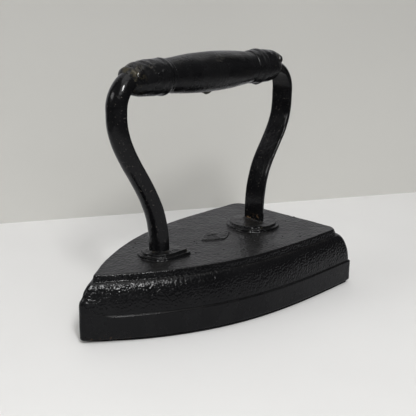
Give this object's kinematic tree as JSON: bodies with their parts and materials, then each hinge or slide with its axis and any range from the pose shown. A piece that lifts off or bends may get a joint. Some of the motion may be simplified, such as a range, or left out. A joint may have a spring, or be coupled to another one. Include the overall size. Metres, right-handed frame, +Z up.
{
  "type": "flat iron",
  "caption": "Solid cast flat iron heated on a stove: pointed body with round shoulders, two S-shaped half-round arms and a hollow turned grip between them.",
  "frame": {"origin": "on the sole's plane, under the middle of the object's length and width", "axes": "+X towards the nose, +Y towards the left side seen from the heel, +Z up from the sole"},
  "size_m": [0.15, 0.0812, 0.1231],
  "materials": {
    "body_paint": "black stove paint over a grainy sand casting, semi-gloss",
    "arm_paint": "glossy black paint over forged bar",
    "grip_paint": "semi-gloss black paint, lightly pitted",
    "brazing": "lumpy brazing metal under worn black paint"
  },
  "bodies": {
    "root": {"body_casting": "body_paint", "front_arm": "arm_paint", "rear_arm": "arm_paint", "grip_barrel": "grip_paint", "grip_seam": "brazing", "front_ferrule": "grip_paint", "rear_ferrule": "grip_paint", "front_braze": "brazing", "rear_braze": "brazing", "front_pin": "arm_paint", "rear_pin": "arm_paint"}
  },
  "joints": []
}
